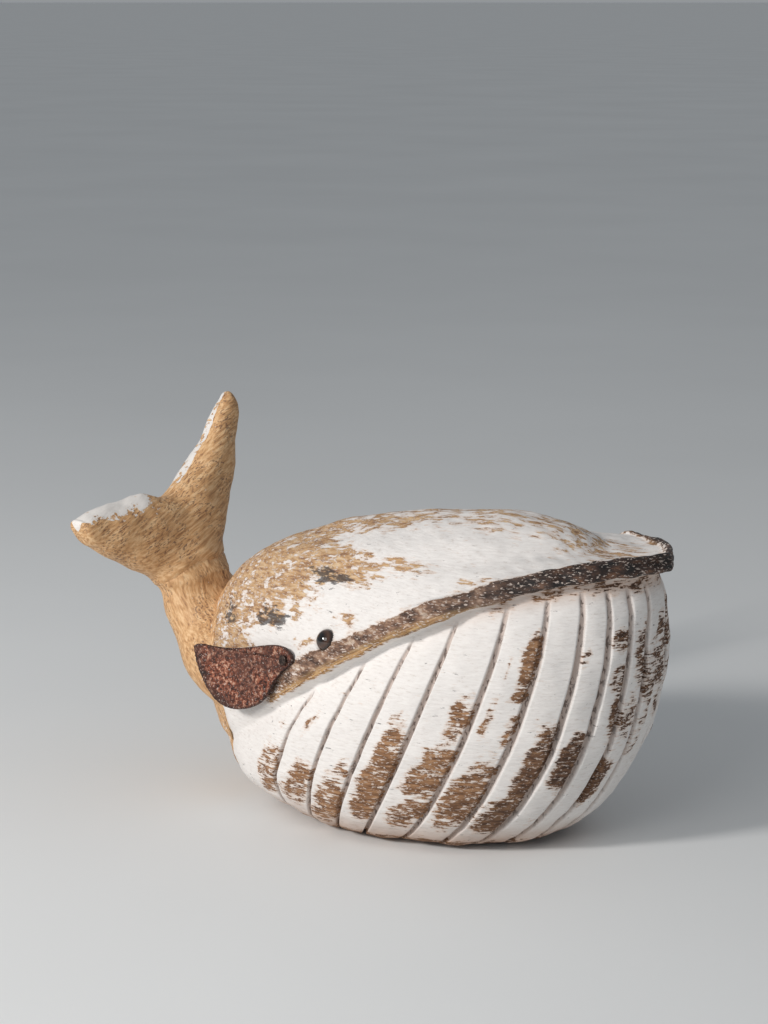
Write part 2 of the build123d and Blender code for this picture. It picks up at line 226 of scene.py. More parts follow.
head = smooth(9.2, 10.4, level)
lip = band(7.3, 8.0, 9.1, 9.9, level) * (1 - smooth(np.radians(100), lip_gone, turned))

# Relief of the throat: each cut deepens downward, and the pleats swell between the cuts
cut_least, cut_gain, swell = 0.5, 1.2, 0.28
pleat_edges = np.concatenate([[0], pleat_turns, [np.radians(131)]])
pleat = np.clip(np.searchsorted(pleat_edges, around, side="right") - 1, 0, len(pleat_turns))
across = np.clip((around - pleat_edges[pleat]) / (pleat_edges[pleat + 1] - pleat_edges[pleat]), 0, 1)
off_cut = np.degrees(np.abs(around[..., None] - pleat_turns)).min(-1)
pleated = smooth(6.95, 6.5, level) * (around < np.radians(125))
deepening = smooth(6.9, 4.6, level) * (1 + 0.15 * ripple(grid, 16, 3))
groove = smooth(1.12, 0.55 - 0.25 * smooth(5, 6.8, level), off_cut) * pleated
lift = -(cut_least + cut_gain * deepening) * groove + swell * pleated * (np.sin(np.pi * across) - 0.6)

# Relief all over: knife waves, torn strands along the lip, which stands proudest in front, and eye sockets
knife_waves = ((0.30, 26, 5), (0.10, 7, 6))
lip_proud, socket_depth, socket_play = 0.9, 1.3, 0.25
steps = np.linalg.norm(np.diff(grid, axis=1), axis=-1)
run = np.concatenate([np.zeros((len(at), 1)), np.cumsum(steps, 1)], 1)
strand = np.stack([run / 7, level * 5, 0 * run], -1)
torn = 0.4 * ripple(grid, 12, 7) + 0.22 * ripple(strand, 4, 8) + 0.14 * ripple(strand * (2, 1.5, 1), 2.5, 9)
lift = lift + waves(grid, knife_waves) + lip * (torn + lip_proud * smooth(0, 60, along))
lift = lift * smooth(0, 0.5, level)
from_eye = np.stack([along, -np.abs(side), height], -1) - eye_place
off_axis = np.linalg.norm(from_eye - (from_eye @ eye_out)[..., None] * eye_out, axis=-1)
socket = smooth(eye_radius + socket_play, eye_radius, off_axis) * (np.abs(from_eye @ eye_out) < 6)
lift = lift * (1 - smooth(2 * eye_radius, 4, off_axis)) - socket_depth * socket
carved = grid + normals(grid) * lift[..., None]
carved[..., 2] = np.maximum(carved[..., 2], 0)
carved[..., 0] = np.maximum(carved[..., 0], joint_face(carved[..., 2]))

# Rubbed places of each pleat: place across it and half width, level and half height, strength
rubbed = {
    0: [(0.30, 0.80, 4.60, 0.80, 0.75), (0.60, 0.40, 3.50, 0.30, 0.70)],
    1: [(0.20, 0.50, 5.20, 0.70, 0.75), (0.60, 0.50, 4.00, 0.40, 0.65), (0.85, 0.40, 2.85, 0.45, 0.90)],
    2: [(0.40, 0.45, 5.50, 0.28, 0.90), (0.30, 0.45, 4.70, 0.28, 0.90), (0.10, 0.35, 4.20, 0.50, 0.90)],
    3: [(0.75, 0.20, 5.20, 0.30, 0.50), (0.30, 0.40, 3.35, 0.50, 1.00)],
    4: [(0.22, 0.36, 3.30, 0.70, 1.00), (0.40, 0.50, 2.30, 0.45, 0.90)],
    5: [(0.15, 0.22, 5.25, 0.60, 1.00), (0.62, 0.08, 5.18, 0.22, 0.70), (0.18, 0.20, 4.60, 0.10, 0.90),
        (0.66, 0.13, 4.35, 0.35, 0.70), (0.13, 0.16, 4.05, 0.30, 0.70), (0.40, 0.45, 2.80, 0.75, 0.80)],
    6: [(0.22, 0.22, 4.45, 0.40, 0.80), (0.32, 0.40, 3.45, 0.50, 0.80), (0.35, 0.40, 2.50, 0.40, 0.75)],
    7: [(0.50, 0.15, 4.72, 0.15, 0.70), (0.35, 0.32, 3.90, 0.65, 0.85), (0.35, 0.45, 3.20, 0.80, 0.85),
        (0.40, 0.40, 2.80, 0.30, 0.80)],
    8: [(0.38, 0.34, 3.62, 0.45, 0.55), (0.45, 0.50, 2.60, 0.80, 0.75)],
    9: [(0.50, 0.14, 5.40, 0.30, 0.60), (0.40, 0.45, 3.40, 0.90, 0.60)],
    10: [(0.30, 0.40, 4.20, 1.00, 0.60)]}
one_pleat = 0.4
rubbed_rows = [(number, one_pleat) + row for number, rows in rubbed.items() for row in rows]
# Bare and sooty places of the head: along and half length, height and half height, strength
bare = [(-18, 19, 88.5, 5.0, 0.95), (8, 12, 91.5, 2.6, 0.75), (39, 10, 90, 2.0, 0.75), (-6, 7, 75, 2.0, 0.6),
        (-20, 8, 65.2, 2.2, 0.95), (-62, 13, 60, 16, 0.9), (-46, 13, 72, 6, 0.85)]
sooty = [(-19, 10, 85, 2.4, 1.0), (-41, 8, 69, 3.2, 1.0), (-64, 5, 66, 4.5, 0.9)]
# The left side wears as the right one does, a little further back and higher
left_back, left_up = 6.0, 0.5
worn_along = along + np.where(side < 0, 0, left_back)
worn_level = level - np.where(side < 0, 0, left_up)
worn_throat = 0.92 * part_of(rubbed_rows, (pleat, across, worn_level)) + 0.12 * pleated
worn_throat = worn_throat + 0.16 * smooth(60, 15, height) * smooth(0.95, 0.2, across)
worn_throat = np.maximum(worn_throat, 0.9 * smooth(7, 2, height)) * smooth(7.4, 7.0, level)
# The bare streak by the eye slants with the lip
past_streak = along + 20
slanted = height - 0.35 * past_streak * np.exp(-(past_streak / 9) ** 2) * (height < 72)
crest = smooth(26, 8, np.abs(side)) * smooth(90, 98, height)
worn_head = np.max([part_of(bare, (worn_along, slanted)),
                    0.95 * smooth(-10, -38, worn_along) * smooth(67, 76, height),
                    (0.66 + 0.2 * smooth(15, -30, worn_along)) * crest,
                    smooth(-55, -68, worn_along)], 0) * head
fringe = band(8.2, 8.6, 9.2, 10.8, level) * (1 - smooth(np.radians(90), np.radians(130), turned))
# Below the lip the paint is rubbed through, and a beige tint there is painted shade under the overhanging
# lip.
below_lip = band(6.3, 6.9, 7.4, 7.9, level) * front
wear = np.max([worn_throat, worn_head, 1.15 * lip, (0.62 + 0.25 * front) * fringe, 0.66 * below_lip], 0)
# The dark mark draws the bare throat wood darker brown toward the chin: painted shade on the front, which is
# turned from the lamp.
body = sheet("body_carved", carved, wear=np.clip(wear, 0, 1.2), groove=groove, lip=lip, run=run, level=level,
             stain=part_of(sooty, (worn_along, height)) * head, honey=head, tip=front,
             low=np.maximum(smooth(14, 1, height), 0.6 * below_lip),
             dark=smooth(np.radians(50), np.radians(24), around) * (1 - head),
             under=smooth(8.5, 7.95, level + 0.8 * front))


def wire(tree, kind, feeds, **settings):
    """One shader node: its settings, then each input by name or number, as a value or a feeding output."""
    made = tree.nodes.new("ShaderNode" + kind)
    for name, value in settings.items():
        setattr(made, name, value)
    for name, value in feeds.items():
        if isinstance(value, bpy.types.NodeSocket):
            tree.links.new(value, made.inputs[name])
        else:
            made.inputs[name].default_value = value
    return made


def srgb(*shown):
    """Linear colour of a colour as it is seen on a screen."""
    return tuple(((v + 0.055) / 1.055) ** 2.4 if v > 0.04 else v / 12.92 for v in shown) + (1.0,)


def noise(tree, size, stretch=(1, 1, 1), detail=3.0, rough=0.5, shift=0.0):
    """Noise on object coordinates, its lumps of a size in millimetres and drawn out along each axis."""
    place = wire(tree, "TexCoord", {}).outputs["Object"]
    scale = [1000 / (size * drawn) for drawn in stretch]
    lumps = wire(tree, "Mapping", {"Vector": place, "Location": (shift, shift, shift), "Scale": scale})
    feeds = {"Vector": lumps.outputs[0], "Scale": 1.0, "Detail": detail, "Roughness": rough}
    return wire(tree, "TexNoise", feeds).outputs[0]


def mark(tree, name):
    """Value kept on the mesh under a name."""
    return wire(tree, "Attribute", {}, attribute_name=name).outputs["Fac"]


def maths(tree, operation, *values):
    """Two or three values joined by one operation."""
    return wire(tree, "Math", dict(enumerate(values)), operation=operation).outputs[0]


def times(tree, value, by):
    """One value multiplied by another."""
    return maths(tree, "MULTIPLY", value, by)


def above(tree, name, gain, field):
    """How far a mark, times its gain, stands above a field of noise."""
    return maths(tree, "SUBTRACT", times(tree, mark(tree, name), gain), field)


def share_of(tree, value, low, high):
    """Soft share from 0 at low to 1 at high."""
    feeds = {"Value": value, "From Min": low, "From Max": high}
    return wire(tree, "MapRange", feeds, interpolation_type="SMOOTHSTEP").outputs[0]


def blend(tree, share, start, end, strength=None):
    """Colour giving way to another by a share, or by that share times a strength."""
    share = share if strength is None else times(tree, share, strength)
    return wire(tree, "Mix", {0: share, 6: start, 7: end}, data_type="RGBA").outputs[2]


def ramp(tree, value, *stops):
    """Colour read off a row of stops."""
    made = wire(tree, "ValToRGB", {0: value})
    while len(made.color_ramp.elements) < len(stops):
        made.color_ramp.elements.new(1.0)
    for element, (place, colour) in zip(made.color_ramp.elements, stops):
        element.position, element.color = place, colour
    return made.outputs[0]


def bumps(tree, surface, height, distance, strength):
    """Fine roughness too small for the mesh: the surface is shaded as if raised by a height."""
    bump = wire(tree, "Bump", {"Height": height, "Distance": distance, "Strength": strength})
    tree.links.new(bump.outputs[0], surface.inputs["Normal"])


def finish_material(name, tree_maker):
    """Material whose maker is handed its node tree and the surface shader to feed."""
    material = bpy.data.materials.new(name)
    material.use_nodes = True
    tree = material.node_tree
    tree_maker(tree, tree.nodes["Principled BSDF"])
    return material


def painted_wood(tree, surface):
    """Chalk paint over wood: paint is gone where drawn-out flakes of noise fall below the wear on the mesh.
    Groove floors get painted grey shade with dark specks, the foot has thin beige paint, the beige under the
    lip is painted shade, the bare chin wood is painted darker as shade, and the lip is bare fibre, near black
    in front."""
    lip_mark, honey, tip = [mark(tree, name) for name in ("lip", "honey", "tip")]
    combed = noise(tree, 0.62, (8.0, 8.0, 1.0), 2.0, 0.6)
    scales = noise(tree, 1.1, (3.6, 3.6, 1.0), 4.0, 0.7, 8.0)
    flakes = maths(tree, "MULTIPLY_ADD", combed, 0.45, times(tree, scales, 0.55))
    streaks = noise(tree, 1.5, (6.0, 1.3, 0.9), 5.0, 0.64, 2.0)
    patches = noise(tree, 5.5, (1.2, 1.2, 1.0), 4.0, 0.6, 7.0)
    fine = wire(tree, "Mix", {0: honey, 2: flakes, 3: streaks}).outputs[0]
    field = maths(tree, "ADD", times(tree, fine, 0.64), times(tree, patches, 0.36))
    lack = above(tree, "wear", 0.26, field)
    specks = share_of(tree, noise(tree, 0.7, (1.8, 1.8, 0.7), 2.0, 0.5, 4.0), 0.58, 0.64)
    unspecked = maths(tree, "SUBTRACT", 1.0, times(tree, specks, 0.75))
    chips = times(tree, share_of(tree, lack, -0.311, -0.299), unspecked)

    grain = noise(tree, 1.2, (6, 2.0, 0.8), 4.0, 0.62, 3.0)
    tan = ramp(tree, grain, (0.34, srgb(0.36, 0.24, 0.16)), (0.50, srgb(0.54, 0.39, 0.27)),
               (0.64, srgb(0.68, 0.52, 0.38)))
    ochre = ramp(tree, grain, (0.34, srgb(0.56, 0.42, 0.32)), (0.50, srgb(0.75, 0.60, 0.44)),
                 (0.66, srgb(0.85, 0.74, 0.60)))
    brown = ramp(tree, grain, (0.36, srgb(0.25, 0.17, 0.12)), (0.52, srgb(0.40, 0.28, 0.20)),
                 (0.68, srgb(0.54, 0.41, 0.30)))
    # Bare wood: ochre on the head, tan on the throat, drawn darker brown toward the chin as painted shade.
    wood = blend(tree, honey, blend(tree, mark(tree, "dark"), tan, brown), ochre)

    along_lip = {0: times(tree, mark(tree, "run"), 0.12), 1: times(tree, mark(tree, "level"), 9.0)}
    way = wire(tree, "CombineXYZ", along_lip).outputs[0]
    torn_way = {"Vector": way, "Scale": 1.0, "Detail": 4.0, "Roughness": 0.65}
    strands = wire(tree, "TexNoise", torn_way).outputs[0]
    mottle = noise(tree, 2.4, (2.2, 2.2, 1.0), 4.0, 0.66, 5.0)
    worn_lip = ramp(tree, mottle, (0.36, srgb(0.27, 0.20, 0.17)), (0.48, srgb(0.46, 0.35, 0.29)),
                    (0.57, srgb(0.62, 0.49, 0.40)), (0.66, srgb(0.80, 0.72, 0.65)))
    char = ramp(tree, mottle, (0.40, srgb(0.10, 0.085, 0.08)), (0.54, srgb(0.24, 0.17, 0.14)),
                (0.66, srgb(0.44, 0.31, 0.23)))
    fibre = ramp(tree, strands, (0.34, srgb(0.34, 0.24, 0.16)), (0.46, srgb(0.66, 0.50, 0.33)),
                 (0.62, srgb(0.85, 0.71, 0.51)))
    lip_wood = blend(tree, mark(tree, "under"), blend(tree, tip, worn_lip, char), fibre)
    bared = blend(tree, lip_mark, wood, lip_wood)

    streak = noise(tree, 0.9, (3, 3, 0.7), 5.0, 0.7, 1.0)
    chalk = ramp(tree, streak, (0.30, srgb(0.83, 0.80, 0.77)), (0.42, srgb(0.90, 0.88, 0.865)),
                 (0.66, srgb(0.93, 0.915, 0.90)))
    thin = blend(tree, share_of(tree, lack, -0.39, -0.31), chalk, srgb(0.82, 0.70, 0.61), 0.5)
    # Thin beige paint at the foot, and beige painted shade under the lip.
    foot_paint_and_lip_shade = blend(tree, mark(tree, "low"), thin, srgb(0.72, 0.58, 0.48), 0.7)
    dust = share_of(tree, noise(tree, 1.2, (1, 1, 2.2), 3.0, 0.6, 2.0), 0.53, 0.59)
    # Groove floors: painted grey shade in the cuts, with dark specks of dirt.
    groove_shade_and_dirt = blend(tree, dust, srgb(0.74, 0.67, 0.63), srgb(0.34, 0.24, 0.18))
    painted = blend(tree, mark(tree, "groove"), foot_paint_and_lip_shade, groove_shade_and_dirt, 0.85)
    smoke = noise(tree, 1.6, (4.0, 1.5, 0.8), 4.0, 0.7, 6.0)
    soot = share_of(tree, above(tree, "stain", 0.24, smoke), -0.36, -0.26)
    worn = blend(tree, chips, painted, bared)
    tree.links.new(blend(tree, soot, worn, srgb(0.24, 0.22, 0.22), 0.85), surface.inputs["Base Color"])

    gloss = times(tree, times(tree, lip_mark, tip), 0.30)
    tree.links.new(maths(tree, "SUBTRACT", 0.82, gloss), surface.inputs["Roughness"])
    rasp = noise(tree, 0.8, (7, 7, 0.9), 3.0, 0.55, 9.0)
    skin = maths(tree, "SUBTRACT", times(tree, rasp, 0.7), times(tree, chips, 0.45))
    ridges = times(tree, maths(tree, "ADD", strands, mottle), lip_mark)
    bumps(tree, surface, maths(tree, "ADD", skin, ridges), 0.0005, 0.7)


body.data.materials.append(finish_material("painted_wood", painted_wood))
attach(body, "whale")
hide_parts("body")

# Tail: a second block of the same wood, its stock swept up into two canted flukes and left nearly bare.
# It is doweled to the body, and its root is carved flush with the back of the head.
# A little white paint is left along the trailing edges and the tips.
tail_reach, tail_height, stock_half_width, stock_half_depth = 102.0, 95.0, 38.0, 26.0
# Stations up the stock, as shares of those: along, height, heading in degrees, half width, half depth
stock_rows = np.array([
    (-0.431, 0.379, 152, 0.780, 0.780),
    (-0.676, 0.474, 140, 0.680, 0.735),
    (-0.843, 0.600, 120, 0.447, 0.500),
    (-0.907, 0.705, 108, 0.395, 0.404),
    (-0.961, 0.874, 100, 0.237, 0.192)]) * (tail_reach, tail_height, 1, stock_half_width, stock_half_depth)
fluke_root = np.array([-96.0, 0, 77.0])
half_span, far_share, near_share, melt = 46.0, 1.035, 0.79, 9.0
# Edges of the far and the near blade, as shares of the half span: the leading edge's start, slope and curl,
# then the notch between the blades, and the trailing edge's slope and bow
far_edges = np.array([-0.20, 0.52, 0.42, 0.47, 0.2424, 0.182])
near_edges = np.array([-0.25, 0.43, 0.44, 0.57, 0.396, -0.1924])
notch_half, tip_start, tip_length, tip_rise = 0.04, 0.93, 0.07, 0.0485
middle_thick, tip_thick, crest_thick, edge_thick = np.array([0.20, 0.055, 0.22, 0.03]) * half_span
arc_span, crest_up, arc_chord = np.array([1.10, 0.15, 0.75]) * half_span
lean, cant, yaw = np.radians((10, 21, 14))
fluke_up = np.array([-np.sin(lean), 0, np.cos(lean)])
fluke_back = np.array([-np.cos(lean), 0, -np.sin(lean)])
level_span = np.array([0, 1, 0]) * np.cos(yaw) - fluke_back * np.sin(yaw)
span_way = level_span * np.cos(cant) + fluke_up * np.sin(cant)
sweep_way = fluke_up * np.cos(cant) - level_span * np.sin(cant)
fluke_axes = np.stack([span_way, sweep_way, np.cross(span_way, sweep_way)])


def arc_drop(off, reach, drop):
    """How far an arc has fallen at a distance from its crest, when it falls by a drop over a reach."""
    radius = (reach ** 2 + drop ** 2) / (2 * drop)
    return radius - np.sqrt(radius ** 2 - np.minimum(off ** 2, (1.16 * reach) ** 2))


def fluke_form(x, y):
    """Blade at a place across the span and up the sweep: middle and half of its chord, half its thickness.
    Leading and trailing edges are parabolas closed by a round tip; the blade thins along both by arcs."""
    out = np.clip(np.abs(x) / (half_span * np.where(x > 0, far_share, near_share)), 0, 1)
    held = np.minimum(out, tip_start)
    edges = near_edges + (far_edges - near_edges) * smooth(-7, 5, x)[..., None]
    root, slope, curl, notch, rise, bow = np.moveaxis(edges, -1, 0)
    lead = root + slope * held + curl * held ** 2
    past = np.maximum(held - notch_half, 0)
    trail = notch + rise * past + bow * past ** 2
    end = np.maximum(out - tip_start, 0) / tip_length
    close = np.sqrt(np.maximum(1 - end ** 2, 0))
    across_arc = middle_thick - arc_drop(x, arc_span, middle_thick - tip_thick)
    across_arc = across_arc * (1 - 0.25 * smooth(0.4, 1.0, out))
    chord_arc = crest_thick - arc_drop(y - crest_up, arc_chord, crest_thick - edge_thick)
    thick = np.maximum(np.minimum(across_arc, chord_arc), 0.8) * close ** 0.7
    return half_span * ((lead + trail) / 2 + tip_rise * end), half_span * (trail - lead) / 2 * close, thick


def fluke_distance(place):
    """Distance to the blade: how far a place lies beyond its chord and its thickness, taken together."""
    x, y, z = np.moveaxis((place - fluke_root) @ fluke_axes.T, -1, 0)
    middle, reach, thick = fluke_form(x, y)
    off = np.stack([np.abs(y - middle) - reach, np.abs(z) - thick, np.abs(x) - half_span * far_share], -1)
    return np.linalg.norm(np.maximum(off, 0), axis=-1) + np.minimum(off.max(-1), 0)


def stock_frames(at):
    """Middles, headings, faces and half sizes of the stock at fractional stations."""
    along, up, heading, wide, deep = rows_at(stock_rows, at).T
    heading = np.radians(heading)
    ahead = np.stack([np.cos(heading), 0 * heading, np.sin(heading)], -1)
    face = np.stack([-np.sin(heading), 0 * heading, np.cos(heading)], -1)
    return np.stack([along, 0 * along, up], -1), ahead, face, wide, deep


def stock_distance(place):
    """Distance to the stock: how far a place lies outside the ellipse of the station whose plane holds it."""
    middle, ahead, face, wide, deep = stock_frames(np.linspace(0, 4, 300))
    gone = np.abs(place @ ahead.T - (middle * ahead).sum(-1))
    station = np.argmin(gone, -1)
    side, rise = place[..., 1], ((place - middle[station]) * face[station]).sum(-1)
    share = np.hypot(side / wide[station], rise / deep[station])
    beyond_ends = np.maximum(gone.min(-1) - 1.5, 0)
    return (share - 1) * np.hypot(side, rise) / np.maximum(share, 1e-6) + beyond_ends


def melted(grid, other):
    """Grid swollen where it nears another form, so that the two run into each other in a hollow curve."""
    near = np.clip(other(grid), melt / 4, melt)
    return grid + normals(grid) * ((np.sqrt(melt) - np.sqrt(near)) ** 2)[..., None]


def tail_piece(name, form, **marks):
    """One sheet of the tail, each mark spread over its whole grid."""
    return sheet(name, form, **{label: value + 0 * form[..., 0] for label, value in marks.items()})


# Blade: rounded sections carried across the span, painted on the trailing edge, bevelled on the leading one
carving = ((0.28, 18, 21), (0.05, 5, 22))
reach = np.sin(np.linspace(-1, 1, 190) * np.pi / 2)[:, None]
x = reach * half_span * np.where(reach > 0, far_share, near_share)
spin = np.linspace(0, 2 * np.pi, 150, endpoint=False)[None]
chord, bulge = [np.sign(way) * np.abs(way) ** (2 / 2.7) for way in (np.cos(spin), np.sin(spin))]
middle, half_chord, thick = fluke_form(x, 0 * x)
y = middle + half_chord * chord
z = fluke_form(x + 0 * y, y)[2] * bulge
blade = melted(fluke_root + np.stack([x + 0 * y, y, z], -1) @ fluke_axes, stock_distance)
blade = blade + normals(blade) * waves(blade, carving)[..., None]
painted_side = np.where(x < 0, 1.0 * (bulge > -0.5), 0.7 * (bulge < 0.1))
painted_edge = smooth(0.4, 0.95, chord) * smooth(0.1, 0.25, np.abs(reach)) * painted_side
bevelled = smooth(0.5, 0.95, -chord) * smooth(0.1, 0.5, reach)
flukes = tail_piece("tail_flukes", blade, white=painted_edge, edge=bevelled,
                    along=np.abs(x) + 0.4 * y, beside=y, through=z)

# Stock: ellipses carried up the stations, narrowed and cut off where they would pass the joint
station_length = 17
station = np.linspace(0.4, 3.7, 110)
middle, ahead, face, wide, deep = [value[:, None] for value in stock_frames(station)]
spin = np.linspace(2 * np.pi, 0, 130, endpoint=False)[None]
stock = middle + (wide * np.cos(spin))[..., None] * (0, -1, 0) + (deep * np.sin(spin))[..., None] * face
stock = melted(stock, fluke_distance)
past_joint = stock[..., 0] - joint_face(stock[..., 2])
stock[..., 1] *= 1 - 0.35 * smooth(-1, 5, past_joint)
stock[..., 0] -= np.maximum(past_joint, 0)
carved_stock = stock + normals(stock) * waves(stock, carving)[..., None]
stem = tail_piece("tail_stock", carved_stock, white=0, edge=0, along=station[:, None] * station_length,
                  beside=stock[..., 1], through=deep * np.sin(spin))

# Root: the back of the head behind the joint, on the same levels and with the same knife waves as the body
tried = np.linspace(0, 16, 3000)
backs = body_place(tried, np.full((len(tried), 1), np.pi))[:, 0]
reaching = tried[backs[:, 0] < joint_face(backs[:, 2])]
root_at = np.linspace(reaching[0], reaching[-1], 90)
seam = turn_where(root_at, (90, 1), lambda place: place[..., 0] > joint_face(place[..., 2]))
half_root = body_place(root_at, seam + (np.pi - seam) * np.linspace(0, 1, 50))
root_grid = np.concatenate([half_root, half_root[:, -2::-1] * (1, -1, 1)], 1)
off_seam = np.abs(np.linspace(-1, 1, root_grid.shape[1])) < 0.98
root_grid = root_grid + normals(root_grid) * (waves(root_grid, knife_waves) * off_seam)[..., None]
root = tail_piece("tail_root", root_grid, white=0.25, edge=0, along=root_grid[..., 2],
                  beside=root_grid[..., 1], through=root_grid[..., 0])


def bare_wood(tree, surface):
    """Honey wood: fine streaks and purple-brown specks drawn out along the grain kept on the mesh, a paler
    leading edge, and scraps of white paint along the trailing edge."""
    along, beside, through = [mark(tree, name) for name in ("along", "beside", "through")]

    def grain(length, width, detail, shift):
        """Noise whose lumps are a length along the grain and a width across it."""
        feeds = {0: maths(tree, "MULTIPLY_ADD", along, 1 / length, shift),
                 1: times(tree, beside, 1 / width), 2: times(tree, through, 1 / width)}
        way = wire(tree, "CombineXYZ", feeds).outputs[0]
        lumps = {"Vector": way, "Scale": 1.0, "Detail": detail, "Roughness": 0.6}
        return wire(tree, "TexNoise", lumps).outputs[0]

    honey = ramp(tree, grain(7.0, 1.0, 6.0, 0.0), (0.30, srgb(0.62, 0.45, 0.30)),
                 (0.46, srgb(0.80, 0.62, 0.43)), (0.62, srgb(0.90, 0.75, 0.57)))
    motes = share_of(tree, grain(1.5, 0.55, 4.0, 5.0), 0.52, 0.60)
    drifts = share_of(tree, noise(tree, 9.0, (1, 1, 1.4), 4.0, 0.6, 8.0), 0.40, 0.58)
    spotted = blend(tree, times(tree, motes, drifts), honey, srgb(0.38, 0.26, 0.22), 0.75)
    bevel = blend(tree, mark(tree, "edge"), spotted, srgb(0.86, 0.70, 0.50), 0.35)
    scraps = noise(tree, 2.0, (1.6, 1.6, 1.2), 5.0, 0.65, 1.0)
    kept = share_of(tree, above(tree, "white", 0.36, scraps), -0.32, -0.28)
    tree.links.new(blend(tree, kept, bevel, srgb(0.90, 0.88, 0.86)), surface.inputs["Base Color"])
    surface.inputs["Roughness"].default_value = 0.6
    raised = maths(tree, "ADD", grain(9.0, 0.8, 3.0, 9.0), times(tree, kept, 0.5))
    bumps(tree, surface, raised, 0.0004, 0.5)


tail_wood = finish_material("bare_wood", bare_wood)
for piece in (flukes, stem, root):
    piece.data.materials.append(tail_wood)
    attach(piece, "whale")
    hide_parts("tail")

# Fins: scraps of sheet steel, cut with snips to a rounded blade and rusted to a coarse granular skin.
# Each hangs flat beside the body on one nail through its front end, and swivels on it.
fin_length, fin_depth, fin_thick, hole = 46.0, 24.5, 1.2, 0.75
swivel = next(joint for joint in frame["joints"] if joint["child"] == "right_fin")
fin_place, fin_out = 1000 * np.array(swivel["pos_m"]), np.array(swivel["axis"])
fin_side = np.cross((0, 0, 1), fin_out)
fin_side = fin_side / np.linalg.norm(fin_side)
fin_up = np.cross(fin_out, fin_side)
# Outline about the nail, as shares of length and depth
fin_outline = np.array([
    (0.065, 0.010), (-0.070, 0.163), (-0.400, 0.025), (-0.720, -0.085), (-0.925, -0.115), (-0.955, -0.235),
    (-0.860, -0.520), (-0.700, -0.770), (-0.510, -0.840), (-0.310, -0.750), (-0.150, -0.520),
    (-0.055, -0.220)])
fin_outline = fin_outline * (fin_length, fin_depth)


def loop(places, count):
    """Smooth closed curve through places: cubic steps whose slopes make the bend run on at each place."""
    corners = np.eye(len(places))
    ring = 4 * corners + np.roll(corners, 1, 0) + np.roll(corners, -1, 0)
    slopes = np.linalg.solve(ring, 3 * (np.roll(places, -1, 0) - np.roll(places, 1, 0)))
    where = np.linspace(0, len(places), count, endpoint=False)
    here, part = where.astype(int), (where % 1)[:, None]
    there = (here + 1) % len(places)
    step, leaving, arriving = places[there] - places[here], slopes[here], slopes[there]
    square, cube = 3 * step - 2 * leaving - arriving, leaving + arriving - 2 * step
    return places[here] + part * leaving + part ** 2 * square + part ** 3 * cube


# A ring from the nail hole over the outer face to the rim and back over the inner face, with rust in relief
face_rows, rust_height, rust_size, rust_seed, rust_waves = 46, 0.2, 1.5, 31, 60
rim = loop(fin_outline, 340)[::-1]
rim_turn = np.arctan2(rim[:, 1], rim[:, 0])
inner = hole * np.stack([np.cos(rim_turn), np.sin(rim_turn)], -1)
spread = np.concatenate([np.linspace(0, 1, face_rows), np.linspace(1, 0, face_rows)])
rise = np.concatenate([np.full(face_rows, fin_thick), np.zeros(face_rows)])
flat = inner + (rim - inner) * spread[:, None, None]
soft = smooth(0, 0.03, spread) * (1 - 0.5 * smooth(0.985, 1.0, spread))
either_face = rise[:, None] * 9 + 0 * flat[..., 0]
grains = rust_height * ripple(np.dstack([flat, either_face]), rust_size, rust_seed, rust_waves)
high = rise[:, None] + grains * soft[:, None]
right_fin = fin_place + flat[..., :1] * fin_side + flat[..., 1:] * fin_up + high[..., None] * fin_out
near_rim = smooth(0.86, 1.0, spread)[:, None] + 0 * high


def rusty_sheet(tree, surface):
    """Rust in coarse grains: red-brown and dark brown, pale specks painted as glints of sparkle, and darker
    at the cut edge.
    """
    coarse = noise(tree, 1.5, (1, 1, 1), 4.0, 0.7, 2.0)
    rust = ramp(tree, coarse, (0.36, srgb(0.12, 0.07, 0.06)), (0.47, srgb(0.36, 0.18, 0.12)),
                (0.56, srgb(0.60, 0.34, 0.24)), (0.65, srgb(0.82, 0.66, 0.56)))
    drift = share_of(tree, noise(tree, 9.0, (1.3, 1, 1), 3.0, 0.5, 5.0), 0.42, 0.60)
    toned = blend(tree, drift, rust, srgb(0.30, 0.20, 0.17), 0.55)
    edge = blend(tree, mark(tree, "rim"), toned, srgb(0.16, 0.10, 0.09), 0.75)
    # Pale specks: painted glints of sparkle on the grains, with lower roughness there.
    painted_glints = share_of(tree, noise(tree, 0.55, (1, 1, 1), 2.0, 0.5, 7.0), 0.62, 0.68)
    tree.links.new(blend(tree, painted_glints, edge, srgb(0.80, 0.74, 0.70), 0.7), surface.inputs["Base Color"])
    tree.links.new(maths(tree, "SUBTRACT", 0.78, times(tree, painted_glints, 0.4)), surface.inputs["Roughness"])
    bumps(tree, surface, noise(tree, 0.7, (1, 1, 1), 3.0, 0.6, 3.0), 0.0006, 0.9)


rust = finish_material("rusty_sheet", rusty_sheet)
for name, fin_grid in (("right_fin", right_fin), ("left_fin", right_fin[:, ::-1] * (1, -1, 1))):
    fin = sheet(name + "_sheet", fin_grid, ring=True, rim=near_rim)
    fin.data.materials.append(rust)
    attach(fin, name)
    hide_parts(name)

